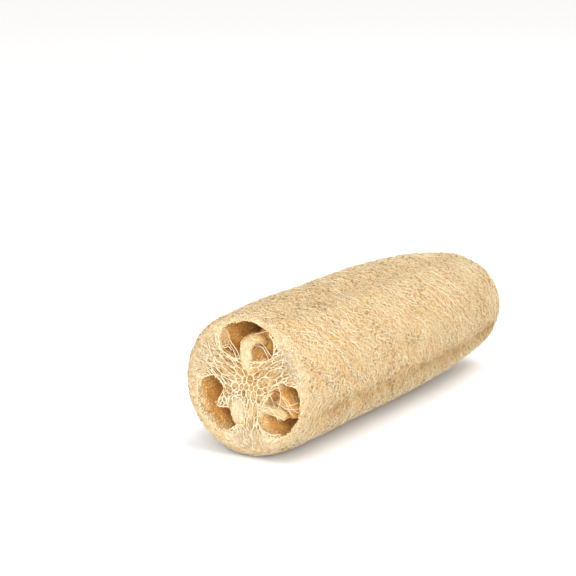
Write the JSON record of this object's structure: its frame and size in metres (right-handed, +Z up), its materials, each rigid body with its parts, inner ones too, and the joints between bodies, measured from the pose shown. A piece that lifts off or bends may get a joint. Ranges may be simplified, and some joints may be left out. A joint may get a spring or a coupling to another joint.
{
  "type": "loofah sponge",
  "caption": "Natural loofah sponge: netted fibre skeleton of a gourd lying on its side, cut straight at one end to show seed chambers and a netted core, rounded at the other end.",
  "frame": {"origin": "on the surface it lies on, below the middle of its length and width", "axes": "+Z up; +Y along the gourd's axis from the cut face to the rounded tip; +X to the right seen from the cut end"},
  "size_m": [0.06, 0.186, 0.0592],
  "materials": {
    "loofah_fibre": "dry, matte, pale cream to tan plant fibre"
  },
  "bodies": {
    "root": {"loofah_sponge": "loofah_fibre"}
  },
  "joints": []
}
